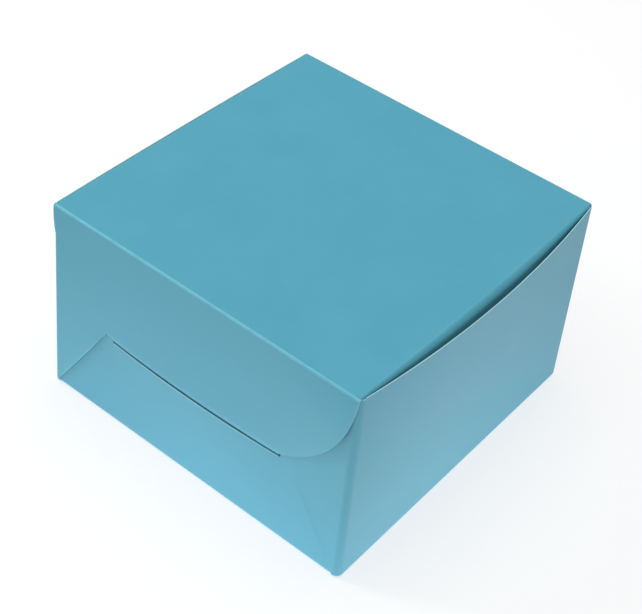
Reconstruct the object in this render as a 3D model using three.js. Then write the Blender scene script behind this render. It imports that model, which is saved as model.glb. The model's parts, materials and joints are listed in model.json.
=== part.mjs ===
// Folding paperboard cake box, set up and closed, in millimetres.
// +X runs along the front face, +Y towards the lid's hinge, +Z up from the table.
// The origin is the middle of the base, on its underside.

import * as THREE from 'three';

// The box
const BOX_WIDTH = 203; // between the outer faces of the side walls, at the base
const BOX_DEPTH = 203; // between the outer faces of the front and back walls, at the base
const WALL_HEIGHT = 126; // from the table to the top edge of every wall
const WALL_LEAN = 2.5; // every wall leans in by this much from its foot to its top edge

// The board, and the room between its layers
const BOARD = 0.5; // thickness of the coated board
const CREASE_GAP = 0.2; // between two panels that meet at a crease
const SLIP = 0.3; // between layers that slide past each other
const GLUE = 0.1; // film of adhesive under a corner tab
const GLUE_ROOM = 0.05; // between the film and the board on either side of it
const GLUE_MARGIN = 6; // from the edge of a tab in to the edge of its film

// Side walls, pushed out by the dust flaps behind them, half way along their top edges
const LEFT_BOW = 0.8;
const RIGHT_BOW = 8.5;
const BOW_POWER = 1.6; // how late a bow grows on its way from a crease

// Corner tabs, folded round from the side walls and glued to the front and back walls
const FOLD_RADIUS = 1.5; // middle of the board at a vertical fold
const TAB_FOOT = 1; // lowest point of a tab above the table
const TAB_MARGIN = 6; // between the free edge of a tab and the end of the slit

// Lid and its dust flaps
const LID_SEAT = 0.3; // between the walls' top edges and the lid's underside
const ROLL_RADIUS = 1.2; // middle of the board where a dust flap rolls over, at its ends
const ROLL_SHARE = 0.4; // share of a dust flap's bow that goes into the roll, the rest into the flat before it
const DUST_FLAT = 0.5; // from the crease to the roll, at the ends of a dust flap
const DUST_DROP = 45; // from the lid down to the lower edge of a dust flap
const DUST_FRONT = 2.5; // from the lid's front edge back to a dust flap
const DUST_REAR = 1.2; // from the lid's hinge forward to a dust flap
const DUST_TAPER = 9; // each end of a dust flap leans in by this much on its way down
const DUST_ROUND = 12; // radius of the lower corners of a dust flap

// Front flap, its tongue, and the slit that takes the tongue
const SLIT_HEIGHT = 56; // lower lip of the slit above the table
const ROUND_RUNOUT = 7; // the arcs of the flap's round ends would run on this far below the slit's top
const SLIT_ROOM = 1; // beside the tongue at each end of the slit
const TONGUE_REACH = 14; // how far the tongue reaches down behind the lower lip
const TONGUE_ROUND = 9; // radius of the tongue's corners
const TONGUE_BEND = 8; // radius of the bend that takes the flap in through the slit
const LIP_BOW = 3; // the tongue pushes the middle of the lower lip out by this much
const FLAP_BOW = 0.8; // the middle of the flap bows out by this much above the slit
const FLAP_CURL = 3; // the flap's round ends stand off the tabs by about this much
const CURL_POWER = 4; // how late the curl grows on its way out to the ends
const FLAP_SPRING = 0.5; // turn of the flap on its crease for each turn of the lid on its hinge

// Facets, and the passes in which the tongue's path settles
const PATH_PASSES = 8;
const BOW_COLUMNS = 16;
const BOW_ROWS = 6;
const FOLD_STEPS = 4;
const ROUND_STEPS = 8;
const BEND_STEPS = 4;
const TONGUE_STEPS = 2;
const FLAP_COLUMNS = 16;
const DUST_ROWS = 2;

// Faces and levels that several pieces share
const sideFace = BOX_WIDTH / 2;
const frontFace = BOX_DEPTH / 2;
const topSide = sideFace - WALL_LEAN;
const topFront = frontFace - WALL_LEAN;
const tabPlane = GLUE + 2 * GLUE_ROOM + BOARD / 2;
const flapPlane = tabPlane + BOARD / 2 + SLIP + BOARD / 2;
const cornerX = sideFace - BOARD / 2 - FOLD_RADIUS;
const cornerY = frontFace + tabPlane - FOLD_RADIUS;
const lidUnderside = WALL_HEIGHT + LID_SEAT;
const lidFront = topFront + flapPlane + BOARD / 2;
const lidRear = topFront + CREASE_GAP;
const dustFace = topSide - BOARD - SLIP;
const dustCrease = dustFace - BOARD / 2 - ROLL_RADIUS - DUST_FLAT - CREASE_GAP;

// The hinge, the flap's crease and the slit's lower lip, seen along X as (y, z)
const hinge = new THREE.Vector2(lidRear, lidUnderside);
const crease = new THREE.Vector2(-lidFront, lidUnderside);
const lip = new THREE.Vector2(-frontFace + leanAt(SLIT_HEIGHT) + BOARD + SLIP, SLIT_HEIGHT);

// As the lid rises, the flap turns about a point between the hinge and the crease, and the
// tongue leans square to the line from there to the lip, so that it slides out along itself
const flapDrop = lidUnderside - SLIT_HEIGHT;
const lidDepth = hinge.x - crease.x;
const turnReach = lidDepth / (1 + FLAP_SPRING) - (lip.x - crease.x);
const tongueLean = Math.atan(flapDrop / turnReach + WALL_LEAN / WALL_HEIGHT);
const bendDrop = TONGUE_BEND * Math.sin(tongueLean);
const bendInset = TONGUE_BEND * (1 - Math.cos(tongueLean));
const slantBoard = BOARD / 2 / Math.cos(tongueLean);
const lipPlane = -BOARD - SLIP - slantBoard;
const bendTop = SLIT_HEIGHT + bendDrop + (flapPlane - bendInset - lipPlane) / Math.tan(tongueLean);
const slitTop = flapHeightAt(SLIP + slantBoard);
const flapRound = lidUnderside - slitTop + ROUND_RUNOUT;
const slitHalf = flapHalfWidth(slitTop) + SLIT_ROOM;
const tabEdge = slitHalf + TAB_MARGIN;

// The tabs at the back stop short of the lid when it lies open, level with the hinge
const rearTabTop = lidUnderside - BOARD - SLIP;

// How far a wall has leaned in at a height
function leanAt(z) {
  return (WALL_LEAN * z) / WALL_HEIGHT;
}

// The share of its bow that the lip or the flap has at a place along the slit
function slitShare(x) {
  return Math.max(0, 1 - (x / slitHalf) ** 2);
}

// In the flap's own frame, where a lip bowed as much as the flap is once the lid has turned by an angle
function lipInFlap(bow, turn) {
  const bowed = new THREE.Vector2(lip.x - bow, lip.y);
  return bowed.rotateAround(hinge, turn).rotateAround(crease, FLAP_SPRING * turn);
}

// How far the middle of the tongue stands in front of the front wall's outer face at a height
// below the lip: its outer side is the path that the lip takes along it as the lid rises
function tongueOffset(bow, z) {
  let turn = 0;
  for (let pass = 0; pass < PATH_PASSES; pass++) turn += (lipInFlap(bow, turn).y - z) / lidDepth;
  return leanAt(z) - frontFace - lipInFlap(bow, turn).x - slantBoard;
}

// The same for the flap above the lip, where nothing bows it out
function flapOffset(z) {
  const below = bendTop - z;
  if (below <= 0) return flapPlane;
  if (below <= bendDrop) {
    return flapPlane - TONGUE_BEND + Math.sqrt(TONGUE_BEND ** 2 - below ** 2);
  }
  return flapPlane - bendInset - (below - bendDrop) * Math.tan(tongueLean);
}

// The middle of the flap or tongue at a place across it and a height
function flapPoint(x, z) {
  const bow = FLAP_BOW * slitShare(x);
  let offset = 0;
  if (z < SLIT_HEIGHT) {
    offset = tongueOffset(bow, z);
  } else {
    const down = Math.min(1, (lidUnderside - z) / (lidUnderside - slitTop));
    const curl = FLAP_CURL * (x / topSide) ** CURL_POWER * 4 * down * (1 - down);
    offset = flapOffset(z) + bow * down ** BOW_POWER + curl;
  }
  return new THREE.Vector3(x, leanAt(z) - frontFace - offset, z);
}

// The height at which the middle of the flap stands that far in front of the front wall
function flapHeightAt(offset) {
  const inset = flapPlane - offset;
  if (inset <= bendInset) {
    return bendTop - Math.sqrt(TONGUE_BEND ** 2 - (TONGUE_BEND - inset) ** 2);
  }
  return bendTop - bendDrop - (inset - bendInset) / Math.tan(tongueLean);
}

// Half the flap's width: round ends down to the slit, then the straight tongue with its round corners
function flapHalfWidth(z) {
  const drop = lidUnderside - Math.max(z, slitTop);
  const flap = topSide - flapRound + Math.sqrt(flapRound ** 2 - drop ** 2);
  const intoRound = SLIT_HEIGHT - TONGUE_REACH + TONGUE_ROUND - z;
  if (intoRound <= 0) return flap;
  return flap - TONGUE_ROUND + Math.sqrt(Math.max(0, TONGUE_ROUND ** 2 - intoRound ** 2));
}

// How far a side wall bows out, at a place along it from -1 to 1 and at a height
function wallBow(side, along, z) {
  const bow = side < 0 ? LEFT_BOW : RIGHT_BOW;
  return bow * (1 - along ** 2) * (z / WALL_HEIGHT) ** BOW_POWER;
}

// A sheet: a grid of points on its middle layer, thickened by half to each side, with the cells
// that are cut away left out
function sheet(columns, rows, middle, { thickness = BOARD, isCut = () => false } = {}) {
  const across = columns + 1;
  const layer = across * (rows + 1);
  const index = (i, j) => j * across + i;
  const points = [];
  for (let j = 0; j <= rows; j++) {
    for (let i = 0; i <= columns; i++) points.push(middle(i, j));
  }
  const solid = (i, j) => i >= 0 && j >= 0 && i < columns && j < rows && !isCut(i, j);
  const normals = points.map(() => new THREE.Vector3());
  const faces = [];
  const quad = (a, b, c, d) => faces.push(a, b, c, a, c, d);
  const rim = (a, b) => quad(b, a, layer + a, layer + b);
  for (let j = 0; j < rows; j++) {
    for (let i = 0; i < columns; i++) {
      if (!solid(i, j)) continue;
      const [a, b, c, d] = [index(i, j), index(i + 1, j), index(i + 1, j + 1), index(i, j + 1)];
      const rising = points[c].clone().sub(points[a]);
      const facing = rising.cross(points[d].clone().sub(points[b])).normalize();
      for (const corner of [a, b, c, d]) normals[corner].add(facing);
      quad(a, b, c, d);
      quad(layer + d, layer + c, layer + b, layer + a);
      if (!solid(i, j - 1)) rim(a, b);
      if (!solid(i + 1, j)) rim(b, c);
      if (!solid(i, j + 1)) rim(c, d);
      if (!solid(i - 1, j)) rim(d, a);
    }
  }
  const positions = [];
  for (const side of [thickness / 2, -thickness / 2]) {
    points.forEach((point, k) => {
      positions.push(...point.clone().addScaledVector(normals[k].normalize(), side).toArray());
    });
  }
  const geometry = new THREE.BufferGeometry();
  geometry.setAttribute('position', new THREE.Float32BufferAttribute(positions, 3));
  geometry.setIndex(faces);
  geometry.computeVertexNormals();
  return geometry;
}

// The values after start on the way to end, in equal steps
function evenSteps(start, end, count) {
  return Array.from({ length: count }, (_, k) => start + ((end - start) * (k + 1)) / count);
}

// A flat plate cut to an outline
function plate(outline, thickness) {
  return new THREE.ExtrudeGeometry(outline, { depth: thickness, bevelEnabled: false });
}

function outlineOf(corners) {
  return new THREE.Shape(corners.map(([x, y]) => new THREE.Vector2(x, y)));
}

function rectangle(left, bottom, right, top) {
  return outlineOf([[left, bottom], [right, bottom], [right, top], [left, top]]);
}

function basePanel() {
  const halfWidth = sideFace - BOARD - CREASE_GAP;
  const halfDepth = frontFace - BOARD - CREASE_GAP;
  return plate(rectangle(-halfWidth, -halfDepth, halfWidth, halfDepth), BOARD);
}

function backWall() {
  return sheet(1, 1, (i, j) => {
    const z = WALL_HEIGHT * j;
    return new THREE.Vector3((2 * i - 1) * (cornerX - leanAt(z)), frontFace - leanAt(z) - BOARD / 2, z);
  });
}

// The front wall, with its slit held open and its lower lip bowed out by the tongue
function frontWall() {
  const across = [-cornerX, -slitHalf, ...evenSteps(-slitHalf, slitHalf, BOW_COLUMNS), cornerX];
  const levels = [0, ...evenSteps(0, SLIT_HEIGHT, BOW_ROWS), slitTop, WALL_HEIGHT];
  const lastColumn = across.length - 1;
  const isCut = (i, j) => levels[j] === SLIT_HEIGHT && i > 0 && i < lastColumn - 1;
  const middle = (i, j) => {
    const z = levels[j];
    const atCorner = i === 0 || i === lastColumn;
    const x = atCorner ? Math.sign(across[i]) * (cornerX - leanAt(z)) : across[i];
    const bow = z > SLIT_HEIGHT ? 0 : LIP_BOW * slitShare(x) * (z / SLIT_HEIGHT) ** BOW_POWER;
    return new THREE.Vector3(x, leanAt(z) - frontFace + BOARD / 2 - bow, z);
  };
  return sheet(lastColumn, levels.length - 1, middle, { isCut });
}

// A side wall, straight along the base and its ends, bowed out between them towards the top
function sideWall(side) {
  return sheet(BOW_COLUMNS, BOW_ROWS, (i, j) => {
    const along = (2 * i) / BOW_COLUMNS - 1;
    const z = (WALL_HEIGHT * j) / BOW_ROWS;
    const x = sideFace - BOARD / 2 - leanAt(z) + wallBow(side, along, z);
    return new THREE.Vector3(side * x, along * (cornerY - CREASE_GAP - leanAt(z)), z);
  });
}

// A corner tab: round the fold from the side wall, then flat, its lower edge rising to the slit
function cornerTab(side, end) {
  const top = end < 0 ? WALL_HEIGHT : rearTabTop;
  return sheet(FOLD_STEPS + 1, 1, (i, j) => {
    const free = i > FOLD_STEPS;
    const turn = (Math.PI / 2) * Math.min(1, i / FOLD_STEPS);
    const foot = free ? SLIT_HEIGHT : TAB_FOOT;
    const z = j ? top : foot;
    const x = free ? tabEdge : cornerX - leanAt(z) + FOLD_RADIUS * Math.cos(turn);
    const y = cornerY - leanAt(z) + FOLD_RADIUS * Math.sin(turn);
    return new THREE.Vector3(side * x, end * y, z);
  });
}

// The film of adhesive under a corner tab, kept in from the tab's edges
function glueFilm(side, end) {
  const top = rearTabTop - GLUE_MARGIN;
  const inner = tabEdge + GLUE_MARGIN;
  const outer = cornerX - WALL_LEAN - GLUE_MARGIN;
  const rise = (SLIT_HEIGHT - TAB_FOOT) / (cornerX - tabEdge);
  const middle = (i, j) => {
    const x = i ? inner : outer;
    const foot = TAB_FOOT + rise * (cornerX - x) + GLUE_MARGIN * Math.hypot(1, rise);
    const z = j ? top : foot;
    return new THREE.Vector3(side * x, end * (frontFace - leanAt(z) + GLUE_ROOM + GLUE / 2), z);
  };
  return sheet(1, 1, middle, { thickness: GLUE });
}

// The lid: its corners stand out beside the dust flaps' creases
function lidPanel() {
  const frontEar = -lidFront + DUST_FRONT - CREASE_GAP;
  const rearEar = lidRear - DUST_REAR + CREASE_GAP;
  const rightEdge = [
    [topSide, -lidFront],
    [topSide, frontEar],
    [dustCrease, frontEar],
    [dustCrease, rearEar],
    [topSide, rearEar],
    [topSide, lidRear],
  ];
  const leftEdge = rightEdge.map(([x, y]) => [-x, y]).reverse();
  return plate(outlineOf([...rightEdge, ...leftEdge]), BOARD);
}

// A dust flap: runs on from the lid, rolls over and hangs inside the side wall, bowed out with it
function dustFlap(side) {
  const lidMiddle = lidUnderside + BOARD / 2;
  const front = -lidFront + DUST_FRONT;
  const rear = lidRear - DUST_REAR;
  const lowerEdge = lidMiddle - DUST_DROP;
  const roundTop = lowerEdge + DUST_ROUND;
  const bulge = wallBow(side, 0, lowerEdge) + WALL_LEAN - leanAt(lowerEdge) - SLIP;
  const rollEnd = FOLD_STEPS + 1;
  const roundFrom = rollEnd + DUST_ROWS;
  return sheet(BOW_COLUMNS, roundFrom + FOLD_STEPS, (i, j) => {
    const nominal = front + ((rear - front) * i) / BOW_COLUMNS;
    const spread = bulge * Math.max(0, 1 - (nominal / (cornerY - WALL_LEAN)) ** 2);
    const radius = ROLL_RADIUS + ROLL_SHARE * spread;
    const flat = j ? DUST_FLAT + (1 - ROLL_SHARE) * spread : 0;
    const turn = (Math.PI / 2) * Math.min(1, Math.max(0, j - 1) / FOLD_STEPS);
    const rollFoot = lidMiddle - radius;
    let z = rollFoot + radius * Math.cos(turn);
    let inRound = 0;
    if (j > roundFrom) {
      inRound = (j - roundFrom) / FOLD_STEPS;
      z = roundTop - DUST_ROUND * Math.sin((Math.PI / 2) * inRound);
    } else if (j > rollEnd) {
      z = rollFoot + ((roundTop - rollFoot) * (j - rollEnd)) / DUST_ROWS;
    }
    const corner = DUST_ROUND * (1 - Math.cos((Math.PI / 2) * inRound));
    const trim = (DUST_TAPER * (lidMiddle - z)) / DUST_DROP + corner;
    const share = (2 * i) / BOW_COLUMNS - 1;
    const x = dustCrease + CREASE_GAP + flat + radius * Math.sin(turn);
    return new THREE.Vector3(side * x, nominal - share * trim, z);
  });
}

// The front flap: flat down to the bend, in through the slit, and the tongue behind the lower lip
function frontFlap() {
  const tongueEnd = SLIT_HEIGHT - TONGUE_REACH;
  const reach = Math.asin((lidUnderside - bendTop) / flapRound);
  const levels = [lidUnderside - CREASE_GAP];
  for (let k = 1; k <= ROUND_STEPS; k++) {
    levels.push(lidUnderside - flapRound * Math.sin((reach * k) / ROUND_STEPS));
  }
  levels.push(...evenSteps(bendTop, slitTop, BEND_STEPS));
  levels.push(...evenSteps(slitTop, SLIT_HEIGHT, BEND_STEPS));
  levels.push(...evenSteps(SLIT_HEIGHT, tongueEnd + TONGUE_ROUND, TONGUE_STEPS));
  for (let k = 1; k <= FOLD_STEPS; k++) {
    levels.push(tongueEnd + TONGUE_ROUND * (1 - Math.sin(((Math.PI / 2) * k) / FOLD_STEPS)));
  }
  return sheet(FLAP_COLUMNS, levels.length - 1, (i, j) => {
    return flapPoint(((2 * i) / FLAP_COLUMNS - 1) * flapHalfWidth(levels[j]), levels[j]);
  });
}

const coatedBoard = new THREE.MeshStandardMaterial({ color: 0x5fa9be, roughness: 0.55, metalness: 0 });
const lidBoard = new THREE.MeshStandardMaterial({ color: 0x5aa6bc, roughness: 0.5, metalness: 0 });
const adhesive = new THREE.MeshStandardMaterial({ color: 0xe6dfc8, roughness: 0.4, metalness: 0 });

function piece(name, geometry, material) {
  const mesh = new THREE.Mesh(geometry, material);
  mesh.name = name;
  return mesh;
}

const sides = [['left', -1], ['right', 1]];

const tray = new THREE.Group();
tray.add(piece('base_panel', basePanel(), coatedBoard));
tray.add(piece('back_wall', backWall(), coatedBoard));
tray.add(piece('front_wall', frontWall(), coatedBoard));
for (const [word, side] of sides) {
  tray.add(piece(`${word}_wall`, sideWall(side), coatedBoard));
  tray.add(piece(`front_${word}_tab`, cornerTab(side, -1), coatedBoard));
  tray.add(piece(`rear_${word}_tab`, cornerTab(side, 1), coatedBoard));
  tray.add(piece(`front_${word}_glue`, glueFilm(side, -1), adhesive));
  tray.add(piece(`rear_${word}_glue`, glueFilm(side, 1), adhesive));
}

const lid = new THREE.Group();
const lidTop = piece('lid_panel', lidPanel(), lidBoard);
lidTop.position.z = lidUnderside;
lid.add(lidTop);
for (const [word, side] of sides) lid.add(piece(`${word}_dust_flap`, dustFlap(side), lidBoard));
lid.add(piece('front_flap', frontFlap(), lidBoard));

const cakeBox = new THREE.Group();
cakeBox.name = 'cake_box';
cakeBox.add(tray, lid);

export default cakeBox;
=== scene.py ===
"""Folding paperboard cake box, closed, on a pale floor. Metres, +Z up, the same frame as the solids."""
import cmath
import json
import math

import bpy
from mathutils import Matrix, Vector


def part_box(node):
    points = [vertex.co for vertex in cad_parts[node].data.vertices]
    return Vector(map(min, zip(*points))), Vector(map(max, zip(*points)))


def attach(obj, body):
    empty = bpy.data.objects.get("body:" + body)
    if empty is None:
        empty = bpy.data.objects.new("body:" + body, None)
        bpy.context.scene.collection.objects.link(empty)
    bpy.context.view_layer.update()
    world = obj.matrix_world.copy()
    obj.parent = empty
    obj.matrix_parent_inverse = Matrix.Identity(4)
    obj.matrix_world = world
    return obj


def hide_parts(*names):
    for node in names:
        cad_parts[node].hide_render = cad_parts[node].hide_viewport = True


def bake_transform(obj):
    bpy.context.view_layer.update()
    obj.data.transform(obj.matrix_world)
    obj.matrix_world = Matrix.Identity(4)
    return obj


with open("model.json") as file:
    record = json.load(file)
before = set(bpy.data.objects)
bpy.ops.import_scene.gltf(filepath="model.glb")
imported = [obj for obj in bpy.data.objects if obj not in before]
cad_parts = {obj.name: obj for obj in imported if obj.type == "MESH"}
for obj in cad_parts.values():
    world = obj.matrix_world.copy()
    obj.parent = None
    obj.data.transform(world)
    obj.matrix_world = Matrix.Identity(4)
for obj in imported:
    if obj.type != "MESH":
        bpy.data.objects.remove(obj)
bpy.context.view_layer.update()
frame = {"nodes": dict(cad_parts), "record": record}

MM = 0.001


def lowest(node, axis):
    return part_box(node)[0][axis]


def highest(node, axis):
    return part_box(node)[1][axis]


def joint_place(name):
    joints = frame["record"]["behaviour"]["joints"]
    return Vector(next(joint["pos_m"] for joint in joints if joint["name"] == name))


# Sizes of the solids, with the lid's sides trimmed a little
BOARD = highest("base_panel", 2)
WALL_HEIGHT = 126 * MM
SIDE_FACE = -lowest("left_wall", 0)
FRONT_FACE = highest("back_wall", 1)
WALL_LEAN = FRONT_FACE - BOARD - lowest("back_wall", 1)
LID_UNDER = lowest("lid_panel", 2)
LID_FRONT = -lowest("lid_panel", 1)
LID_REAR = highest("lid_panel", 1)
LID_TRIM = 0.8 * MM
TOP_SIDE = highest("lid_panel", 0) - LID_TRIM
DUST_CREASE = joint_place("right_crease").x
LID_MIDDLE = LID_UNDER + BOARD / 2

# Room between layers
SLIP = 0.3 * MM
TAB_ROOM = 0.2 * MM
TAB_PLANE = TAB_ROOM + BOARD / 2
FLAP_PLANE = TAB_PLANE + BOARD + SLIP

# Bows of the side walls, and how much panels swell beyond a margin along their edges
LEFT_BOW = 0.8 * MM
RIGHT_BOW = 7.2 * MM
BOW_POWER = 1.6
WALL_WARP = 0.5 * MM
LID_WARP = 0.6 * MM
WARP_MARGIN = 30 * MM

# Folds, as radii of the board's middle, with their flat strips and the rows round a foot fold
FOOT_FOLD = 2.0 * MM
LEFT_CORNER = 1.6 * MM
RIGHT_CORNER = 3.6 * MM
FRONT_FOLD = 0.9 * MM
HINGE_FOLD = 1.2 * MM
FOLD_FLAT = 0.2 * MM
FOOT_STEPS = 6
DUST_STRIP = 1.0 * MM

# Tops of the front wall and of the tabs, and the front wall's trimmed top corners
FRONT_TOP = WALL_HEIGHT - 0.5 * MM
REAR_TAB_TOP = LID_UNDER - BOARD - SLIP
TOP_CUT = 4 * MM
TOP_CUT_DEPTH = 1.6 * MM

# Dust flaps: how they roll over, how far they hang, and their trimmed edges
ROLL_RADIUS = 1.2 * MM
ROLL_SHARE = 0.6
DUST_SHORT = 0.08
DUST_FLAT = 0.5 * MM
DUST_GAP = 0.2 * MM
DUST_DROP = 45 * MM
DUST_FRONT = -LID_FRONT + 1.65 * MM
DUST_RELIEF = 1.1 * MM
DUST_REAR = LID_REAR - 2.2 * MM
DUST_TAPER = 9 * MM
DUST_ROUND = 12 * MM

# Front flap, tongue and slit, with the bows and curls that they have taken
SLIT_HEIGHT = 57.2 * MM
ROUND_RUNOUT = 7 * MM
SLIT_ROOM = 1 * MM
LIP_BAND = 1.2 * MM
TONGUE_REACH = 14 * MM
TONGUE_ROUND = 9 * MM
TONGUE_BEND = 8 * MM
LIP_BOW = 2.2 * MM
TONGUE_BOW = 1.95 * MM
FLAP_BOW = 0.8 * MM
LEFT_CURL = 1.4 * MM
RIGHT_CURL = 3.0 * MM
CURL_POWER = 4
FLAP_SPRING = 0.5

# Corner tabs: their slanting lower edges, and how these lift off
TAB_FOOT = 0.3 * MM
TAB_START = 1.6 * MM
TAB_RAMP = 3 * MM
TAB_CLEAR = 1.5 * MM
TAB_MARGIN = 7 * MM
LEFT_LIFT = 1.0 * MM
RIGHT_LIFT = 0.3 * MM
LIFT_FALL = 5 * MM
LIFT_FADE = 14 * MM
LIFT_UNDER_FLAP = 0.2

# How strongly a paler coat is painted along the lip, the front fold and the dust flaps' rolls: painted
# highlights, the front fold's with some real rubbing too
LIP_HIGHLIGHT = 1.5
FRONT_RUB_AND_HIGHLIGHT = 1.6
ROLL_HIGHLIGHT = 0.3


def lean_at(z):
    return WALL_LEAN * z / WALL_HEIGHT


def wall_bow(bow, z):
    return bow * (z / WALL_HEIGHT) ** BOW_POWER


def corner_fold(side):
    return RIGHT_CORNER if side > 0 else LEFT_CORNER


def quarter_turn(share):
    return math.pi / 2 * min(1, max(0, share))


# Hinge, crease and lower lip seen along X, as y + z j
hinge = complex(LID_REAR, LID_UNDER)
crease = complex(-LID_FRONT, LID_UNDER)
lip = complex(-FRONT_FACE + lean_at(SLIT_HEIGHT) + BOARD + SLIP, SLIT_HEIGHT)
lid_depth = LID_REAR + LID_FRONT
turn_reach = lid_depth / (1 + FLAP_SPRING) - (lip.real - crease.real)
tongue_lean = math.atan((LID_UNDER - SLIT_HEIGHT) / turn_reach + WALL_LEAN / WALL_HEIGHT)
bend_drop = TONGUE_BEND * math.sin(tongue_lean)
bend_inset = TONGUE_BEND * (1 - math.cos(tongue_lean))
slant_board = BOARD / 2 / math.cos(tongue_lean)
lip_plane = -BOARD - SLIP - slant_board
bend_top = SLIT_HEIGHT + bend_drop + (FLAP_PLANE - bend_inset - lip_plane) / math.tan(tongue_lean)


def flap_height_at(offset):
    """The height at which the flap's middle stands that far in front of the front wall."""
    inset = FLAP_PLANE - offset
    if inset <= bend_inset:
        return bend_top - math.sqrt(TONGUE_BEND ** 2 - (TONGUE_BEND - inset) ** 2)
    return bend_top - bend_drop - (inset - bend_inset) / math.tan(tongue_lean)


slit_top = flap_height_at(SLIP + slant_board)
flap_round = LID_UNDER - slit_top + ROUND_RUNOUT


def flap_half_width(z):
    """Half the flap's width: round ends down to the slit, then the tongue with its round corners."""
    drop = LID_UNDER - max(z, slit_top)
    flap = TOP_SIDE - flap_round + math.sqrt(flap_round ** 2 - drop ** 2)
    into_round = SLIT_HEIGHT - TONGUE_REACH + TONGUE_ROUND - z
    if into_round <= 0:
        return flap
    return flap - TONGUE_ROUND + math.sqrt(max(0, TONGUE_ROUND ** 2 - into_round ** 2))


slit_half = flap_half_width(slit_top) + SLIT_ROOM
tab_edge = slit_half + TAB_CLEAR
tab_corner = slit_half + TAB_MARGIN


def slit_share(x):
    """The share of its bow that the lip or the flap has at a place along the slit."""
    return max(0, 1 - (x / slit_half) ** 2)


def lip_in_flap(bow, turn):
    """In the flap's own frame, where a lip with that bow is once the lid has turned."""
    place = hinge + (lip - bow - hinge) * cmath.exp(1j * turn)
    return crease + (place - crease) * cmath.exp(1j * FLAP_SPRING * turn)


def tongue_offset(bow, z):
    """How far the tongue's middle stands in front of the front wall: its outer side is the lip's path."""
    turn = 0
    for _ in range(8):
        turn += (lip_in_flap(bow, turn).imag - z) / lid_depth
    return lean_at(z) - FRONT_FACE - lip_in_flap(bow, turn).real - slant_board


def flap_offset(z):
    below = bend_top - z
    if below <= 0:
        return FLAP_PLANE
    if below <= bend_drop:
        return FLAP_PLANE - TONGUE_BEND + math.sqrt(TONGUE_BEND ** 2 - below ** 2)
    return FLAP_PLANE - bend_inset - (below - bend_drop) * math.tan(tongue_lean)


def flap_point(x, z):
    """The middle of the flap or tongue at a place across it and a height."""
    share = slit_share(x)
    if z < SLIT_HEIGHT:
        offset = tongue_offset(TONGUE_BOW * share, z)
    else:
        down = min(1, (LID_UNDER - z) / (LID_UNDER - slit_top))
        pull = min(1, max(0, (bend_top - z) / (bend_top - SLIT_HEIGHT)))
        bow = FLAP_BOW * down ** BOW_POWER + (TONGUE_BOW - FLAP_BOW) * pull ** 2 * (3 - 2 * pull)
        curl = RIGHT_CURL if x > 0 else LEFT_CURL
        curl *= (x / TOP_SIDE) ** CURL_POWER * 4 * down * (1 - down)
        offset = flap_offset(z) + bow * share + curl
    return Vector((x, lean_at(z) - FRONT_FACE - offset, z))


def steps(start, end, count):
    return [start + (end - start) * k / count for k in range(count + 1)]


def foot_rows(count):
    """Heights and insets round a foot fold, from the base up to the wall."""
    turns = steps(0, math.pi / 2, count)
    return [(BOARD / 2 + FOOT_FOLD * (1 - math.cos(t)), FOOT_FOLD * (1 - math.sin(t))) for t in turns]


def foot_inset(z):
    """How far a wall has drawn in at a height in its foot fold."""
    rise = max(0, BOARD / 2 + FOOT_FOLD - z) / FOOT_FOLD
    return FOOT_FOLD * (1 - math.sqrt(max(0, 1 - rise ** 2)))


class Field:
    """A value inside a node tree, on which plain sums can be written."""

    def __init__(self, tree, socket):
        self.tree, self.socket = tree, socket

    def math(self, operation, *others):
        node = self.tree.nodes.new("ShaderNodeMath")
        node.operation = operation
        for slot, value in zip(node.inputs, (self, *others)):
            plug(self.tree, slot, value)
        return Field(self.tree, node.outputs[0])

    def __add__(self, other):
        return self.math("ADD", other)

    def __sub__(self, other):
        return self.math("SUBTRACT", other)

    def __rsub__(self, other):
        return (self * -1.0) + other

    def __mul__(self, other):
        return self.math("MULTIPLY", other)

    def __truediv__(self, other):
        return self.math("DIVIDE", other)

    def __pow__(self, other):
        return self.math("POWER", other)

    __radd__, __rmul__ = __add__, __mul__


def plug(tree, socket, value):
    """Sets a socket to a plain value, or links a field or another socket to it."""
    if isinstance(value, Field):
        value = value.socket
    if isinstance(value, bpy.types.NodeSocket):
        tree.links.new(value, socket)
    else:
        socket.default_value = value


def add_node(tree, kind, settings=None, **inputs):
    """A new node with its settings, and its inputs by name with underscores for spaces."""
    node = tree.nodes.new(kind)
    for name, value in (settings or {}).items():
        setattr(node, name, value)
    for name, value in inputs.items():
        plug(tree, node.inputs[name.replace("_", " ")], value)
    return node


def new_tree(name, kind, inputs, outputs):
    """A node tree with named sockets, and its group input and output nodes."""
    tree = bpy.data.node_groups.new(name, kind)
    for direction, sockets in (("INPUT", inputs), ("OUTPUT", outputs)):
        for socket, form in sockets.items():
            tree.interface.new_socket(name=socket, in_out=direction, socket_type=f"NodeSocket{form}")
    entry, result = tree.nodes.new("NodeGroupInput"), tree.nodes.new("NodeGroupOutput")
    return tree, entry, result


FACES = {"Coat": "Material", "Inside": "Material", "Cut Edge": "Material"}


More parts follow.
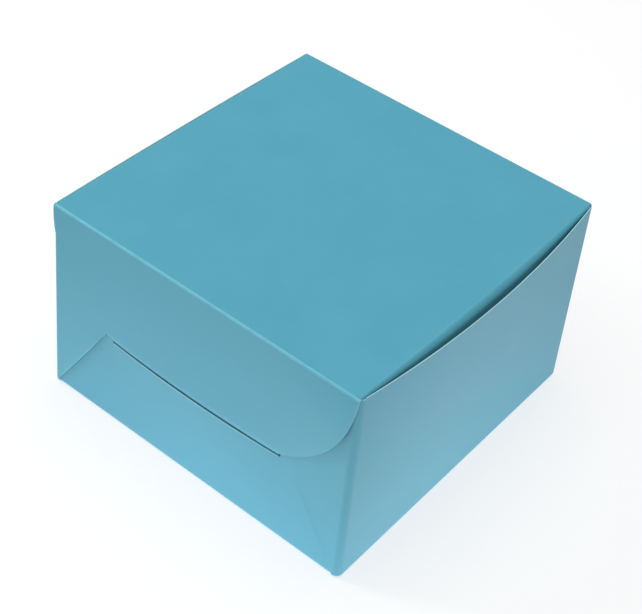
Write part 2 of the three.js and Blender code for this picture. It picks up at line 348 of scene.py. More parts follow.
def board_tree():
    """Thickens the middle layer of a panel, and notes how far each point is from the panel's edges."""
    sizes = {"Geometry": "Geometry", "Thickness": "Float", "Warp": "Float", **FACES}
    tree, entry, result = new_tree("board", "GeometryNodeTree", sizes, {"Geometry": "Geometry"})
    neighbours = add_node(tree, "GeometryNodeInputMeshEdgeNeighbors")
    is_edge = add_node(tree, "FunctionNodeCompare", {"data_type": "INT", "operation": "EQUAL"})
    tree.links.new(neighbours.outputs["Face Count"], is_edge.inputs[2])
    is_edge.inputs[3].default_value = 1
    seam = add_node(tree, "GeometryNodeInputNamedAttribute", {"data_type": "FLOAT"}, Name="seam")
    is_edge = Field(tree, is_edge.outputs["Result"])
    is_cut = Field(tree, seam.outputs["Attribute"]).math("LESS_THAN", 0.99) * is_edge

    def distance_to(selection):
        edges = add_node(tree, "GeometryNodeSeparateGeometry", {"domain": "EDGE"},
                         Geometry=entry.outputs["Geometry"], Selection=selection)
        nearest = add_node(tree, "GeometryNodeProximity", {"target_element": "EDGES"})
        tree.links.new(edges.outputs["Selection"], nearest.inputs[0])
        return Field(tree, nearest.outputs["Distance"]) + (1.0 - Field(tree, nearest.outputs["Is Valid"]))

    noted = add_node(tree, "GeometryNodeStoreNamedAttribute", {"data_type": "FLOAT", "domain": "POINT"},
                     Geometry=entry.outputs["Geometry"], Name="edge_distance", Value=distance_to(is_cut))
    share = (distance_to(is_edge) / WARP_MARGIN).math("MINIMUM", 1.0)
    share = share * share * (3.0 - share * 2.0)
    waves = add_node(tree, "ShaderNodeTexNoise", Scale=14.0, Detail=1.0)
    tree.links.new(add_node(tree, "GeometryNodeInputPosition").outputs[0], waves.inputs["Vector"])
    swell = (Field(tree, waves.outputs["Fac"]) - 0.5) * Field(tree, entry.outputs["Warp"]) * share
    thickness = Field(tree, entry.outputs["Thickness"])
    normal = add_node(tree, "GeometryNodeInputNormal").outputs[0]
    lift = add_node(tree, "ShaderNodeVectorMath", {"operation": "SCALE"}, Vector=normal)
    plug(tree, lift.inputs["Scale"], swell - thickness * 0.5)
    inner = add_node(tree, "GeometryNodeSetPosition", Geometry=noted.outputs[0], Offset=lift.outputs[0])
    outer = add_node(tree, "GeometryNodeExtrudeMesh", {"mode": "FACES"}, Mesh=inner.outputs[0],
                     Offset_Scale=thickness, Individual=False)
    lining = add_node(tree, "GeometryNodeFlipFaces", Mesh=inner.outputs[0])
    both = add_node(tree, "GeometryNodeJoinGeometry")
    tree.links.new(lining.outputs[0], both.inputs[0])
    tree.links.new(outer.outputs["Mesh"], both.inputs[0])
    closed = add_node(tree, "GeometryNodeMergeByDistance", Geometry=both.outputs[0], Distance=1e-7)
    smooth = add_node(tree, "GeometryNodeSetShadeSmooth", Geometry=closed.outputs[0], Shade_Smooth=True)
    turn = add_node(tree, "GeometryNodeInputMeshEdgeAngle").outputs["Unsigned Angle"]
    crisp = add_node(tree, "GeometryNodeSetShadeSmooth", {"domain": "EDGE"}, Geometry=smooth.outputs[0],
                     Selection=Field(tree, turn).math("GREATER_THAN", 1.0), Shade_Smooth=False)
    last = add_node(tree, "GeometryNodeRealizeInstances", Geometry=crisp.outputs[0])
    for face, where in (("Inside", None), ("Coat", "Top"), ("Cut Edge", "Side")):
        painted = add_node(tree, "GeometryNodeSetMaterial", Geometry=last.outputs[0],
                           Material=entry.outputs[face])
        if where:
            plug(tree, painted.inputs["Selection"], outer.outputs[where])
        last = painted
    tree.links.new(last.outputs[0], result.inputs["Geometry"])
    return tree


def bowed_wall_tree(board):
    """A side wall by its rule: straight along its foot and ends, bowed out between them towards the top."""
    sizes = {name: "Float" for name in (
        "Side", "Half Width", "Half Depth", "Height", "Lean", "Bow", "Bow Power",
        "Foot Fold", "Corner Fold", "Corner Flat", "Thickness", "Warp")}
    counts = {"Columns": "Int", "Rows": "Int", "Foot Rows": "Int"}
    tree, entry, result = new_tree(
        "bowed_wall", "GeometryNodeTree", {**sizes, **counts, **FACES}, {"Geometry": "Geometry"})
    size = {name: Field(tree, entry.outputs[name]) for name in (*sizes, *counts)}
    grid = add_node(tree, "GeometryNodeMeshGrid", Size_X=2.0, Size_Y=1.0)
    plug(tree, grid.inputs["Vertices X"], size["Columns"] + 1)
    plug(tree, grid.inputs["Vertices Y"], size["Rows"] + 1)
    place = add_node(tree, "ShaderNodeSeparateXYZ")
    tree.links.new(add_node(tree, "GeometryNodeInputPosition").outputs[0], place.inputs[0])
    along = Field(tree, place.outputs["X"])
    row = ((Field(tree, place.outputs["Y"]) + 0.5) * size["Rows"]).math("ROUND")
    turn = (row / size["Foot Rows"]).math("MINIMUM", 1.0) * (math.pi / 2)
    climb = ((row - size["Foot Rows"]) / (size["Rows"] - size["Foot Rows"])).math("MAXIMUM", 0.0)
    foot = size["Thickness"] * 0.5
    straight = size["Height"] - foot - size["Foot Fold"]
    z = foot + size["Foot Fold"] * (1.0 - turn.math("COSINE")) + straight * climb
    inset = size["Foot Fold"] * (1.0 - turn.math("SINE"))
    share = z / size["Height"]
    bow = size["Bow"] * share ** size["Bow Power"]
    draw_in = inset + size["Lean"] * share
    slope = bow * 2.0 / size["Half Depth"]
    length = (slope * slope + 1.0).math("SQRT")
    end = size["Half Depth"] - draw_in - size["Corner Fold"] \
        + (size["Corner Fold"] * slope - size["Corner Flat"]) / length
    x = size["Half Width"] - draw_in + bow * (1.0 - along * along)
    point = add_node(tree, "ShaderNodeCombineXYZ")
    plug(tree, point.inputs["X"], x * size["Side"])
    plug(tree, point.inputs["Y"], along * end * size["Side"])
    plug(tree, point.inputs["Z"], z)
    at_seam = along.math("ABSOLUTE").math("GREATER_THAN", 0.999).math("MAXIMUM", row.math("LESS_THAN", 0.5))
    seamed = add_node(tree, "GeometryNodeStoreNamedAttribute", {"data_type": "FLOAT", "domain": "POINT"},
                      Geometry=grid.outputs[0], Name="seam", Value=at_seam)
    shaped = add_node(tree, "GeometryNodeSetPosition", Geometry=seamed.outputs[0],
                      Position=point.outputs[0])
    thick = add_node(tree, "GeometryNodeGroup", {"node_tree": board}, Geometry=shaped.outputs[0],
                     Thickness=size["Thickness"], Warp=size["Warp"])
    for face in FACES:
        plug(tree, thick.inputs[face], entry.outputs[face])
    tree.links.new(thick.outputs[0], result.inputs["Geometry"])
    return tree


def crease_bead_tree():
    """The soft ridge that a creasing rule raises on the inner side of a fold, along a path of edges."""
    sizes = {"Geometry": "Geometry", "Bead Radius": "Float", "Step": "Float", "Bead": "Material"}
    tree, entry, result = new_tree("crease_bead", "GeometryNodeTree", sizes, {"Geometry": "Geometry"})
    path = add_node(tree, "GeometryNodeMeshToCurve", Mesh=entry.outputs["Geometry"])
    even = add_node(tree, "GeometryNodeResampleCurve", {"mode": "LENGTH"}, Curve=path.outputs[0],
                    Length=entry.outputs["Step"])
    profile = add_node(tree, "GeometryNodeCurvePrimitiveCircle", Resolution=10,
                       Radius=entry.outputs["Bead Radius"])
    ridge = add_node(tree, "GeometryNodeCurveToMesh", Curve=even.outputs[0],
                     Profile_Curve=profile.outputs[0], Fill_Caps=True)
    crush = add_node(tree, "ShaderNodeTexNoise", Scale=400.0, Detail=2.0)
    tree.links.new(add_node(tree, "GeometryNodeInputPosition").outputs[0], crush.inputs["Vector"])
    lift = add_node(tree, "ShaderNodeVectorMath", {"operation": "SCALE"},
                    Vector=add_node(tree, "GeometryNodeInputNormal").outputs[0])
    plug(tree, lift.inputs["Scale"],
         (Field(tree, crush.outputs["Fac"]) - 0.5) * Field(tree, entry.outputs["Bead Radius"]) * 0.6)
    uneven = add_node(tree, "GeometryNodeSetPosition", Geometry=ridge.outputs[0], Offset=lift.outputs[0])
    smooth = add_node(tree, "GeometryNodeSetShadeSmooth", Geometry=uneven.outputs[0], Shade_Smooth=True)
    whole = add_node(tree, "GeometryNodeRealizeInstances", Geometry=smooth.outputs[0])
    painted = add_node(tree, "GeometryNodeSetMaterial", Geometry=whole.outputs[0],
                       Material=entry.outputs["Bead"])
    tree.links.new(painted.outputs[0], result.inputs["Geometry"])
    return tree


def paper_fibre_group():
    """The tooth and cloudiness of paper: a height for bump, and tone and gloss shifts about zero."""
    tree, entry, result = new_tree(
        "paper_fibre", "ShaderNodeTree", {"Tooth Scale": "Float", "Cloud Scale": "Float"},
        {"Height": "Float", "Cloud": "Float", "Fleck": "Float"})
    place = add_node(tree, "ShaderNodeTexCoord").outputs["Object"]
    tooth = add_node(tree, "ShaderNodeTexNoise", Vector=place, Scale=entry.outputs["Tooth Scale"],
                     Detail=3.0, Roughness=0.6)
    drawn = add_node(tree, "ShaderNodeMapping", Vector=place, Scale=(1.0, 0.25, 0.6))
    fibres = add_node(tree, "ShaderNodeTexNoise", Vector=drawn.outputs[0], Detail=4.0, Roughness=0.7,
                      Distortion=0.6)
    plug(tree, fibres.inputs["Scale"], Field(tree, entry.outputs["Tooth Scale"]) * 0.45)
    cloud = add_node(tree, "ShaderNodeTexNoise", Vector=place, Scale=entry.outputs["Cloud Scale"],
                     Detail=4.0, Roughness=0.55)
    tooth, fibres, cloud = (Field(tree, n.outputs["Fac"]) for n in (tooth, fibres, cloud))
    plug(tree, result.inputs["Height"], tooth * 0.6 + fibres * 0.4)
    plug(tree, result.inputs["Cloud"], cloud - 0.5)
    plug(tree, result.inputs["Fleck"], fibres - 0.5)
    return tree


def wear_and_highlight_mask_group():
    """A mask for a paler coat: strongest at a panel's cut edges, where the board is rubbed, and wherever a
    crease value is set, which paints highlights (with some real rubbing on the front fold); broken up in
    both.
    """
    tree, entry, result = new_tree(
        "wear_and_highlight_mask", "ShaderNodeTree", {"Width": "Float", "Edge Share": "Float", "Break Up": "Float"},
        {"Wear": "Float"})
    distance = Field(tree, add_node(tree, "ShaderNodeAttribute",
                                    {"attribute_name": "edge_distance"}).outputs["Fac"])
    place = add_node(tree, "ShaderNodeTexCoord").outputs["Object"]
    patches = add_node(tree, "ShaderNodeTexNoise", Vector=place, Scale=130.0, Detail=5.0, Roughness=0.65)
    # The crease value paints highlights: pale lines along the lip, the front fold and the dust flaps'
    # rolls.
    crease = Field(tree, add_node(tree, "ShaderNodeAttribute", {"attribute_name": "crease"}).outputs["Fac"])
    near = (1.0 - distance / Field(tree, entry.outputs["Width"])) * Field(tree, entry.outputs["Edge Share"])
    near = near.math("MAXIMUM", crease)
    broken = 1.0 - Field(tree, entry.outputs["Break Up"]) * Field(tree, patches.outputs["Fac"])
    plug(tree, result.inputs["Wear"], (near * broken).math("MINIMUM", 1.0))
    return tree


paper_fibre = paper_fibre_group()
wear_and_highlight_mask = wear_and_highlight_mask_group()


def new_material(name):
    material = bpy.data.materials.new(name)
    material.use_nodes = True
    tree = material.node_tree
    return material, tree, tree.nodes["Principled BSDF"]


def blend_colours(tree, share, first, second):
    mix = add_node(tree, "ShaderNodeMix", {"data_type": "RGBA"})
    plug(tree, mix.inputs["Factor"], share)
    for socket, colour in ((mix.inputs[6], first), (mix.inputs[7], second)):
        plug(tree, socket, colour if not isinstance(colour, tuple) else (*colour, 1.0))
    return mix.outputs[2]


def bumped(tree, height, depth):
    bump = add_node(tree, "ShaderNodeBump", Strength=1.0, Distance=depth)
    plug(tree, bump.inputs["Height"], height)
    return bump.outputs[0]


def paper_material(name, pale, deep, worn_and_highlight, gloss, tooth, bump_depth, wear_width, edge_share, wear_and_highlight_share):
    """Board with a cloudy colour, paper tooth, lighter and duller rubbed edges, and painted highlights
    where a crease value is set.
    """
    material, tree, shader = new_material(name)
    fibre = add_node(tree, "ShaderNodeGroup", {"node_tree": paper_fibre}, Tooth_Scale=tooth,
                     Cloud_Scale=35.0)
    wear_and_highlight = add_node(tree, "ShaderNodeGroup", {"node_tree": wear_and_highlight_mask}, Width=wear_width,
                    Edge_Share=edge_share, Break_Up=0.9)
    cloud, fleck = (Field(tree, fibre.outputs[out]) for out in ("Cloud", "Fleck"))
    wear_and_highlight = Field(tree, wear_and_highlight.outputs["Wear"]) * wear_and_highlight_share
    tone = blend_colours(tree, cloud * 1.6 + fleck * 0.7 + 0.5, deep, pale)
    plug(tree, shader.inputs["Base Color"], blend_colours(tree, wear_and_highlight, tone, worn_and_highlight))
    plug(tree, shader.inputs["Roughness"], cloud * 0.12 + fleck * 0.1 + wear_and_highlight * 0.15 + gloss)
    plug(tree, shader.inputs["Normal"], bumped(tree, fibre.outputs["Height"], bump_depth))
    return material


# The paler worn colour is used both for rubbed cut edges and for painted highlights along the lip, the
# front fold and the dust flaps' rolls.
teal_coat = paper_material(
    "teal_coat", pale=(0.096, 0.432, 0.574), deep=(0.084, 0.406, 0.546), worn_and_highlight=(0.23, 0.68, 0.80),
    gloss=0.42, tooth=1500.0, bump_depth=0.01 * MM, wear_width=1.4 * MM, edge_share=0.15, wear_and_highlight_share=0.6)
bare_board = paper_material(
    "bare_board", pale=(0.72, 0.70, 0.66), deep=(0.62, 0.60, 0.56), worn_and_highlight=(0.78, 0.76, 0.72),
    gloss=0.85, tooth=1100.0, bump_depth=0.04 * MM, wear_width=1.2 * MM, edge_share=1.0, wear_and_highlight_share=0.4)
cut_edge = paper_material(
    "cut_edge", pale=(0.42, 0.76, 0.84), deep=(0.28, 0.62, 0.72), worn_and_highlight=(0.54, 0.82, 0.88),
    gloss=0.8, tooth=2600.0, bump_depth=0.05 * MM, wear_width=0.4 * MM, edge_share=1.0, wear_and_highlight_share=0.3)
face_inputs = {"Coat": teal_coat, "Inside": bare_board, "Cut_Edge": cut_edge}


def glue_material():
    """Dried carton glue: cream, half clear, a little glossy, with drag marks."""
    material, tree, shader = new_material("dried_glue")
    fibre = add_node(tree, "ShaderNodeGroup", {"node_tree": paper_fibre}, Tooth_Scale=500.0,
                     Cloud_Scale=90.0)
    cloud = Field(tree, fibre.outputs["Cloud"])
    plug(tree, shader.inputs["Base Color"],
         blend_colours(tree, cloud * 1.5 + 0.5, (0.62, 0.55, 0.38), (0.80, 0.75, 0.62)))
    plug(tree, shader.inputs["Roughness"], cloud * 0.3 + 0.35)
    plug(tree, shader.inputs["Normal"], bumped(tree, fibre.outputs["Height"], 0.03 * MM))
    return material


def new_object(name, data):
    made = bpy.data.objects.new(name, data)
    bpy.context.collection.objects.link(made)
    return made


def grid(name, across, levels, point, is_cut=None, seams=None, crease=None):
    """The middle layer of a panel: a grid of points, less the cells that are cut away. Seams are the
    edges at which the sheet runs on into another panel, and crease is how strongly a paler coat is painted
    there as a highlight."""
    columns = len(across)
    quads = []
    for j in range(len(levels) - 1):
        for i in range(columns - 1):
            if not (is_cut and is_cut(i, j)):
                first = j * columns + i
                quads.append((first, first + 1, first + columns + 1, first + columns))
    used = sorted({corner for quad in quads for corner in quad})
    place = {corner: k for k, corner in enumerate(used)}
    points = [point(across[k % columns], levels[k // columns]) for k in used]
    mesh = bpy.data.meshes.new(name)
    mesh.from_pydata(points, [], [[place[corner] for corner in quad] for quad in quads])
    for attribute, value in (("seam", seams), ("crease", crease)):
        if value:
            marks = [float(value(across[k % columns], levels[k // columns])) for k in used]
            mesh.attributes.new(attribute, "FLOAT", "POINT").data.foreach_set("value", marks)
    return new_object(name, mesh)


def finish_tree(piece, tree, **values):
    """Runs a tree on a piece with the values of its named inputs, and keeps the result as a plain mesh."""
    step = piece.modifiers.new(tree.name, "NODES")
    step.node_group = tree
    sockets = {item.name: item.identifier for item in tree.interface.items_tree if item.in_out == "INPUT"}
    for name, value in values.items():
        step[sockets[name.replace("_", " ")]] = value
    bpy.context.view_layer.update()
    depsgraph = bpy.context.evaluated_depsgraph_get()
    made = bpy.data.meshes.new_from_object(piece.evaluated_get(depsgraph), depsgraph=depsgraph)
    piece.modifiers.remove(step)
    if made.materials and made.materials[0] is None:
        made.materials.pop(index=0)
    piece.data = made
    made.name = piece.name


board = board_tree()


def panel(node, body, across, levels, point, seams, is_cut=None, warp=0.0, crease=None):
    """A panel of board that stands for a solid and rides on its body."""
    piece = grid(f"{node}_board", across, levels, point, is_cut, seams, crease)
    finish_tree(piece, board, Thickness=BOARD, Warp=warp, **face_inputs)
    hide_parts(node)
    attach(piece, body)


def fold(name, across, levels, point, crease=None):
    """A rounded crease between two panels."""
    piece = grid(name, across, levels, point, seams=lambda a, b: True, crease=crease)
    finish_tree(piece, board, Thickness=BOARD, Warp=0.0, **face_inputs)
    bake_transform(piece)


def wall_half_width(z, side):
    """Half the front or back wall's width on a side, up to where the corner folds begin."""
    return SIDE_FACE - BOARD / 2 - corner_fold(side) - lean_at(z)


def base_panel():
    """The base, flat between the four foot folds, its corners drawn out under the corner folds."""
    half_width = SIDE_FACE - BOARD / 2 - FOOT_FOLD
    half_depth = FRONT_FACE - BOARD / 2 - FOOT_FOLD
    margin = 2 * MM
    across = [half_width] + steps(half_width - margin, margin - half_width, 38) + [-half_width]
    levels = [-half_depth] + steps(margin - half_depth, half_depth - margin, 38) + [half_depth]

    def point(x, y):
        if abs(x) == half_width and abs(y) == half_depth:
            inset = foot_inset(TAB_FOOT) + corner_fold(x) * (1 - math.sqrt(0.5))
            return (math.copysign(SIDE_FACE - BOARD / 2 - inset, x),
                    math.copysign(FRONT_FACE + TAB_PLANE - inset, y), BOARD / 2)
        return x, y, BOARD / 2

    panel("base_panel", "tray", across, levels, point, seams=lambda x, y: True)


def back_wall():
    upright = steps(BOARD / 2 + FOOT_FOLD, WALL_HEIGHT + BOARD / 2 - HINGE_FOLD, 40)
    levels = foot_rows(FOOT_STEPS) + [(z, 0) for z in upright[1:]]

    def point(share, level):
        z, inset = level
        return share * (wall_half_width(z, share) - inset), FRONT_FACE - BOARD / 2 - lean_at(z) - inset, z

    panel("back_wall", "tray", steps(1, -1, 48), levels, point,
          seams=lambda share, level: level in (levels[0], levels[-1]))


def front_wall():
    outer = steps(slit_half, SIDE_FACE, 10)
    across = [-x for x in reversed(outer)] + steps(-slit_half, slit_half, 48)[1:-1] + outer
    foot = foot_rows(FOOT_STEPS)
    below_lip = steps(foot[-1][0], SLIT_HEIGHT - LIP_BAND, 28)[1:]
    levels = foot + [(z, 0) for z in below_lip + [SLIT_HEIGHT]]
    slit_row = len(levels) - 1
    levels += [(z, 0) for z in steps(slit_top, FRONT_TOP, 20)]

    def point(x, level):
        z, inset = level
        reach = abs(x)
        if reach > slit_half:
            share = (reach - slit_half) / (SIDE_FACE - slit_half)
            x = math.copysign(slit_half + share * (wall_half_width(z, x) - inset - slit_half), x)
        bow = 0 if z > SLIT_HEIGHT else LIP_BOW * slit_share(x) * (z / SLIT_HEIGHT) ** BOW_POWER
        if z > slit_top:
            into_corner = max(0, abs(x) - (DUST_CREASE - TOP_CUT)) / TOP_CUT
            z -= TOP_CUT_DEPTH * into_corner * (z - slit_top) / (FRONT_TOP - slit_top)
        return x, lean_at(z) - FRONT_FACE + BOARD / 2 + inset - bow, z

    # The crease value along the lip paints a pale highlight on the coat there.
    panel("front_wall", "tray", across, levels, point, seams=lambda x, level: level == levels[0],
          is_cut=lambda i, j: j == slit_row and len(outer) - 1 <= i < len(across) - len(outer),
          crease=lambda x, level: LIP_HIGHLIGHT * (level == levels[slit_row] and abs(x) < slit_half))


def side_wall(word, side, bow, tree):
    piece = new_object(f"{word}_wall_board", bpy.data.meshes.new(f"{word}_wall_board"))
    finish_tree(piece, tree, Side=float(side), Half_Width=SIDE_FACE - BOARD / 2,
                Half_Depth=FRONT_FACE + TAB_PLANE, Height=WALL_HEIGHT, Lean=WALL_LEAN, Bow=bow,
                Bow_Power=BOW_POWER, Foot_Fold=FOOT_FOLD, Corner_Fold=corner_fold(side),
                Corner_Flat=FOLD_FLAT, Thickness=BOARD, Warp=WALL_WARP, Columns=72, Rows=54,
                Foot_Rows=FOOT_STEPS, **face_inputs)
    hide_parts(f"{word}_wall")
    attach(piece, "tray")


def corner_tab(word, side, bow, end):
    """A corner tab: round the vertical fold from the side wall, then flat, its lower edge on a slant."""
    row = "front" if end < 0 else "rear"
    top = FRONT_TOP if end < 0 else REAR_TAB_TOP
    corner = corner_fold(side)
    corner_x = SIDE_FACE - BOARD / 2 - corner
    rise = (SLIT_HEIGHT - TAB_START) / (corner_x - tab_corner)
    across = [-1.0] + steps(0, 1, 10) + steps(1, 2, 30)[1:]

    def point(along, share):
        x_flat = corner_x + (tab_edge - corner_x) * max(0, along - 1)
        run = corner_x - x_flat
        foot = TAB_FOOT + (TAB_START - TAB_FOOT) * min(1, run / TAB_RAMP) + rise * run
        z = foot + (top - foot) * share
        inset = foot_inset(z) + lean_at(z)
        slope = 2 * wall_bow(bow, z) / (FRONT_FACE + TAB_PLANE)
        length = math.hypot(1, slope)
        tab_y = FRONT_FACE + TAB_PLANE - inset
        centre_y = tab_y - corner
        centre_x = SIDE_FACE - BOARD / 2 - inset - (FOLD_FLAT * slope + corner) / length
        if along < 0:
            x = SIDE_FACE - BOARD / 2 - inset
            y = centre_y + (corner * slope - FOLD_FLAT) / length
        elif along <= 1:
            first = math.atan(slope)
            turn = first + (math.pi / 2 - first) * along
            x = centre_x + corner * math.cos(turn)
            y = centre_y + corner * math.sin(turn)
        else:
            x = centre_x + (tab_edge - centre_x) * (along - 1)
            lift = min(1, max(LIFT_UNDER_FLAP, (slit_top - foot) / LIFT_FADE))
            lift *= math.exp(-(z - foot) / LIFT_FALL) * min(1, 4 * (along - 1))
            y = tab_y + (RIGHT_LIFT if side > 0 else LEFT_LIFT) * lift
        return side * x, end * y, z

    forward = side * end > 0
    panel(f"{row}_{word}_tab", "tray", across if forward else across[::-1],
          [share ** 1.5 for share in steps(0, 1, 44)], point, seams=lambda along, share: along < 0)


def front_row(x):
    """Where the front fold ends on the flap."""
    return flap_point(x, LID_MIDDLE - FRONT_FOLD).y


def lid_panel():
    ear_front, ear_rear = DUST_FRONT - DUST_GAP, DUST_REAR + DUST_GAP
    inner = DUST_CREASE + DUST_GAP - DUST_STRIP
    across = [-TOP_SIDE] + steps(-inner, inner, 60) + [TOP_SIDE]
    rear = FRONT_FACE - BOARD / 2 - WALL_LEAN - HINGE_FOLD
    levels = [0.0, 0.5] + [1 + k for k in steps(0, 1, 60)] + [2.5, 3.0]

    def point(x, level):
        front = front_row(x) + FRONT_FOLD
        marks = (front, ear_front, ear_rear, rear)
        k = min(2, int(level))
        return x, marks[k] + (marks[k + 1] - marks[k]) * (level - k), LID_MIDDLE

    def is_cut(i, j):
        return i in (0, len(across) - 2) and 1 <= levels[j] < 2

    def seams(x, level):
        return level in (0.0, 3.0) or (1 <= level <= 2 and abs(abs(x) - inner) < SLIP)

    panel("lid_panel", "lid", across, levels, point, seams, is_cut, warp=LID_WARP)


def dust_flap(word, side, bow):
    """A dust flap: rolls over from the lid and hangs inside the side wall. It is bowed out with the
    wall at its lower edge, and a little less at its top."""
    lower_edge = LID_MIDDLE - DUST_DROP
    round_top = lower_edge + DUST_ROUND
    bulge = wall_bow(bow, lower_edge) + WALL_LEAN - lean_at(lower_edge) - SLIP
    short = DUST_SHORT * bow
    half = FRONT_FACE + TAB_PLANE - ROLL_RADIUS - WALL_LEAN
    start = DUST_CREASE + DUST_GAP
    levels = [-2.0, -1.0]
    for level, count in ((-1, 6), (0, 12), (1, 16), (2, 10)):
        levels += steps(level, level + 1, count)[1:]

    def point(share, level):
        nominal = DUST_FRONT + (DUST_REAR - DUST_FRONT) * (share + 1) / 2
        bowed = max(0, 1 - (nominal / half) ** 2)
        spread = (bulge - short) * bowed
        radius = ROLL_RADIUS + ROLL_SHARE * spread
        flat = DUST_FLAT + (1 - ROLL_SHARE) * spread - FOLD_FLAT
        turn = quarter_turn(level)
        z = LID_MIDDLE - radius * (1 - math.cos(turn))
        into_round = max(0, level - 2)
        if level > 1:
            z += (round_top - z) * min(1, level - 1) - DUST_ROUND * math.sin(math.pi / 2 * into_round)
        corner = DUST_ROUND * (1 - math.cos(math.pi / 2 * into_round))
        below = min(1, (LID_MIDDLE - z) / (LID_MIDDLE - FRONT_TOP))
        trim = DUST_TAPER * (LID_MIDDLE - z) / DUST_DROP + corner + DUST_RELIEF * below ** 2
        run = 0 if level < -1 else FOLD_FLAT + flat * (min(0, level) + 1)
        hang = max(0, LID_MIDDLE - radius - z) / (LID_MIDDLE - radius - lower_edge)
        x = start + run + radius * math.sin(turn) + short * bowed * hang
        return side * x, nominal - share * trim, z

    # The crease value at the roll's start paints a faint highlight along it.
    panel(f"{word}_dust_flap", f"{word}_flap", steps(-side, side, 60), levels[::-1], point,
          seams=lambda share, level: level < -1, crease=lambda share, level: ROLL_HIGHLIGHT * (abs(level) < 0.1))


def front_flap():
    top = LID_MIDDLE - FRONT_FOLD
    tongue_end = SLIT_HEIGHT - TONGUE_REACH
    first, last = (math.asin((LID_UNDER - z) / flap_round) for z in (top, bend_top))
    levels = [top, top - FOLD_FLAT]
    levels += [LID_UNDER - flap_round * math.sin(turn) for turn in steps(first, last, 44)[1:]]
    levels += steps(bend_top, slit_top, 10)[1:] + steps(slit_top, SLIT_HEIGHT, 8)[1:]
    levels += steps(SLIT_HEIGHT, tongue_end + TONGUE_ROUND, 6)[1:]
    levels += [tongue_end + TONGUE_ROUND * (1 - math.sin(t)) for t in steps(0, math.pi / 2, 10)[1:]]
    panel("front_flap", "tuck_flap", steps(-1, 1, 64), levels[::-1],
          lambda share, z: flap_point(share * flap_half_width(z), z), seams=lambda share, z: z == top)


def arc_rows(count):
    """Turns round a fold, with a flat row at each end so that it runs on smoothly into the panels."""
    return [-1.0] + steps(0, 1, count) + [2.0]


def front_fold():
    def point(x, level):
        turn = quarter_turn(level)
        y = front_row(x) + FRONT_FOLD * (1 - math.sin(turn))
        z = LID_MIDDLE - FRONT_FOLD * (1 - math.cos(turn))
        return x, y + (FOLD_FLAT if level < 0 else 0), z - (FOLD_FLAT if level > 1 else 0)

    edge = front_row(0)
    # The crease value across the fold paints a bright highlight line, partly standing for real rubbing of
    # the fold.
    fold("front_fold",
         steps(-TOP_SIDE, TOP_SIDE, 64), arc_rows(8)[::-1], point,
         crease=lambda x, level: FRONT_RUB_AND_HIGHLIGHT * (0 <= level <= 1))


def hinge_fold():
    wall_y = FRONT_FACE - BOARD / 2 - WALL_LEAN

    def point(share, level):
        turn = quarter_turn(level)
        y = wall_y - HINGE_FOLD * (1 - math.cos(turn)) - (FOLD_FLAT if level > 1 else 0)
        z = LID_MIDDLE - HINGE_FOLD * (1 - math.sin(turn)) - (FOLD_FLAT if level < 0 else 0)
        half = wall_half_width(WALL_HEIGHT, share)
        return share * (half + (TOP_SIDE - half) * turn / (math.pi / 2)), y, z

    fold("hinge_fold",
         steps(1, -1, 64), arc_rows(8), point)


def dust_fold(word, side):
    inner = DUST_CREASE + DUST_GAP - DUST_STRIP
    outer = DUST_CREASE + DUST_GAP
    fold(f"{word}_fold",
         steps(inner, outer, 6) if side > 0 else steps(-outer, -inner, 6),
         steps(DUST_FRONT, DUST_REAR, 60), lambda x, y: (x, y, LID_MIDDLE))


def crease_beads(tree):
    """The ridges inside the four folds round the base."""
    reach = (FOOT_FOLD - BOARD / 2) * math.sqrt(0.5) - FOOT_FOLD - BOARD / 2
    half_width, half_depth = SIDE_FACE + reach, FRONT_FACE + reach
    z = BOARD / 2 + FOOT_FOLD - (FOOT_FOLD - BOARD / 2) * math.sqrt(0.5)
    end = 4 * MM
    lines = []
    for sign in (-1, 1):
        lines.append(((-half_width + end, sign * half_depth, z), (half_width - end, sign * half_depth, z)))
        lines.append(((sign * half_width, -half_depth + end, z), (sign * half_width, half_depth - end, z)))
    mesh = bpy.data.meshes.new("crease_beads")
    edges = [(2 * k, 2 * k + 1) for k in range(len(lines))]
    mesh.from_pydata([point for line in lines for point in line], edges, [])
    piece = new_object("crease_beads", mesh)
    finish_tree(piece, tree, Bead_Radius=0.45 * MM, Step=2 * MM, Bead=bare_board)
    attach(piece, "tray")


bowed_wall = bowed_wall_tree(board)
base_panel()
back_wall()
front_wall()
lid_panel()
front_flap()
front_fold()
hinge_fold()
for word, side, bow in (("left", -1, LEFT_BOW), ("right", 1, RIGHT_BOW)):
    side_wall(word, side, bow, bowed_wall)
    corner_tab(word, side, bow, -1)
    corner_tab(word, side, bow, 1)
    dust_flap(word, side, bow)
    dust_fold(word, side)
crease_beads(crease_bead_tree())

dried_glue = glue_material()
for node in ("front_left_glue", "front_right_glue", "rear_left_glue", "rear_right_glue"):
    film = frame["nodes"][node]
    film.data.materials.clear()
    film.data.materials.append(dried_glue)


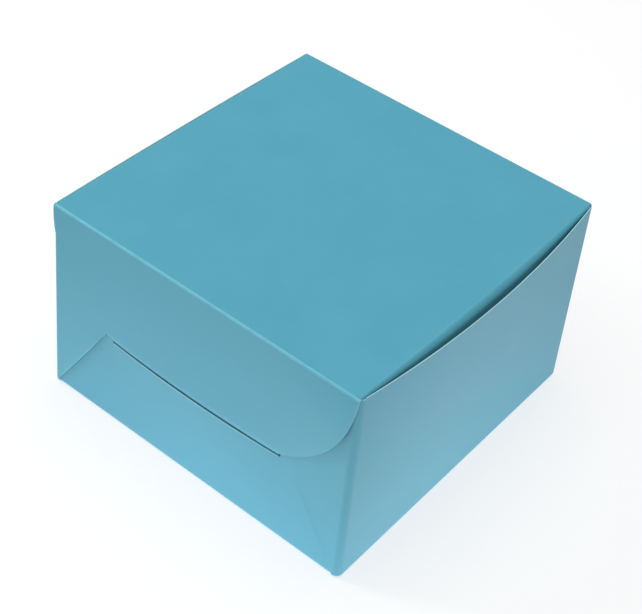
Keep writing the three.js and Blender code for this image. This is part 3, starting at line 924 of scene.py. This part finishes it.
def pale_floor():
    """A wide white floor, glowing in a pool round the box's near corner as painted light that stands in for
    bounced light, and keeping the box's soft shadow.
    It is open under the base and clear from below, so that the underside can be seen."""
    mesh = bpy.data.meshes.new("floor")
    turns = ((-1, -1), (1, -1), (1, 1), (-1, 1))
    outer, opening, height = 6.0, 99 * MM, -0.1 * MM
    rings = [(x * reach, y * reach, height) for reach in (outer, opening) for x, y in turns]
    mesh.from_pydata(rings, [], [(k, (k + 1) % 4, 4 + (k + 1) % 4, 4 + k) for k in range(4)])
    floor = new_object("floor", mesh)
    material, tree, shader = new_material("white_floor")
    shown = Field(tree, add_node(tree, "ShaderNodeLightPath").outputs["Is Camera Ray"])
    place = add_node(tree, "ShaderNodeSeparateXYZ")
    plug(tree, place.inputs[0], add_node(tree, "ShaderNodeTexCoord").outputs["Object"])
    # The pool is emission that lights the box from below: painted light in place of bounce from the floor.
    pool_x, pool_y, pool_spread, pool_strength, shown_strength = 0.07, -0.06, 0.05, 0.88, 0.66
    x, y = Field(tree, place.outputs["X"]) - pool_x, Field(tree, place.outputs["Y"]) - pool_y
    pool = ((x * x + y * y) / -pool_spread).math("EXPONENT") * pool_strength
    plug(tree, shader.inputs["Base Color"],
         blend_colours(tree, shown, (0.88, 0.88, 0.88), (0.4, 0.4, 0.4)))
    shader.inputs["Roughness"].default_value = 0.9
    plug(tree, shader.inputs["Emission Color"],
         blend_colours(tree, shown, (0.92, 1.0, 1.05), (1.0, 1.0, 1.0)))
    plug(tree, shader.inputs["Emission Strength"], pool + shown * (shown_strength - pool))
    see_through = add_node(tree, "ShaderNodeMixShader")
    plug(tree, see_through.inputs[0], add_node(tree, "ShaderNodeNewGeometry").outputs["Backfacing"])
    plug(tree, see_through.inputs[1], shader.outputs[0])
    plug(tree, see_through.inputs[2], add_node(tree, "ShaderNodeBsdfTransparent").outputs[0])
    plug(tree, tree.nodes["Material Output"].inputs["Surface"], see_through.outputs[0])
    mesh.materials.append(material)


def soft_light(name, place, size, power):
    lamp = bpy.data.lights.new(name, "AREA")
    lamp.shape, lamp.size, lamp.energy = "DISK", size, power
    light = new_object(name, lamp)
    light.location = place
    box_middle = Vector((0, 0, 60 * MM))
    light.rotation_euler = (box_middle - Vector(place)).to_track_quat("-Z", "Y").to_euler()


def studio():
    """A dim even surround, white to the camera, with a large soft lamp overhead and a smaller one at
    the left."""
    world = bpy.data.worlds.new("studio")
    world.use_nodes = True
    tree = world.node_tree
    surround = tree.nodes["Background"]
    shown = Field(tree, add_node(tree, "ShaderNodeLightPath").outputs["Is Camera Ray"])
    surround.inputs["Color"].default_value = (1, 1, 1, 1)
    dim, white = 0.36, 1.0
    plug(tree, surround.inputs["Strength"], shown * (white - dim) + dim)
    bpy.context.scene.world = world
    soft_light("overhead", (0, 0, 1.8), 1.4, 13.5)
    soft_light("left", (-1.3, -0.6, 1.0), 0.5, 8.0)


def camera():
    """The photograph's viewpoint: the box seen over its front right corner, the camera tipped a little."""
    azimuth, elevation, roll = (math.radians(angle) for angle in (34.968, 42.413, 6.536))
    distance, aside, below, aim_height = 799.0 * MM, 0.21 * MM, 7.06 * MM, 63.4 * MM
    outward = math.cos(elevation)
    back = Vector((math.sin(azimuth) * outward, -math.cos(azimuth) * outward, math.sin(elevation)))
    level = Vector((math.cos(azimuth), math.sin(azimuth), 0))
    rise = back.cross(level)
    right = level * math.cos(roll) + rise * math.sin(roll)
    up = rise * math.cos(roll) - level * math.sin(roll)
    place = Vector((0, 0, aim_height)) + back * distance + right * aside - up * below
    data = bpy.data.cameras.new("camera")
    data.sensor_width = 36
    data.lens = 82.46
    eye = new_object("camera", data)
    eye.matrix_world = Matrix.Translation(place) @ Matrix((right, up, back)).transposed().to_4x4()
    bpy.context.scene.camera = eye


pale_floor()
studio()
camera()
bpy.context.scene.view_settings.view_transform = "Standard"
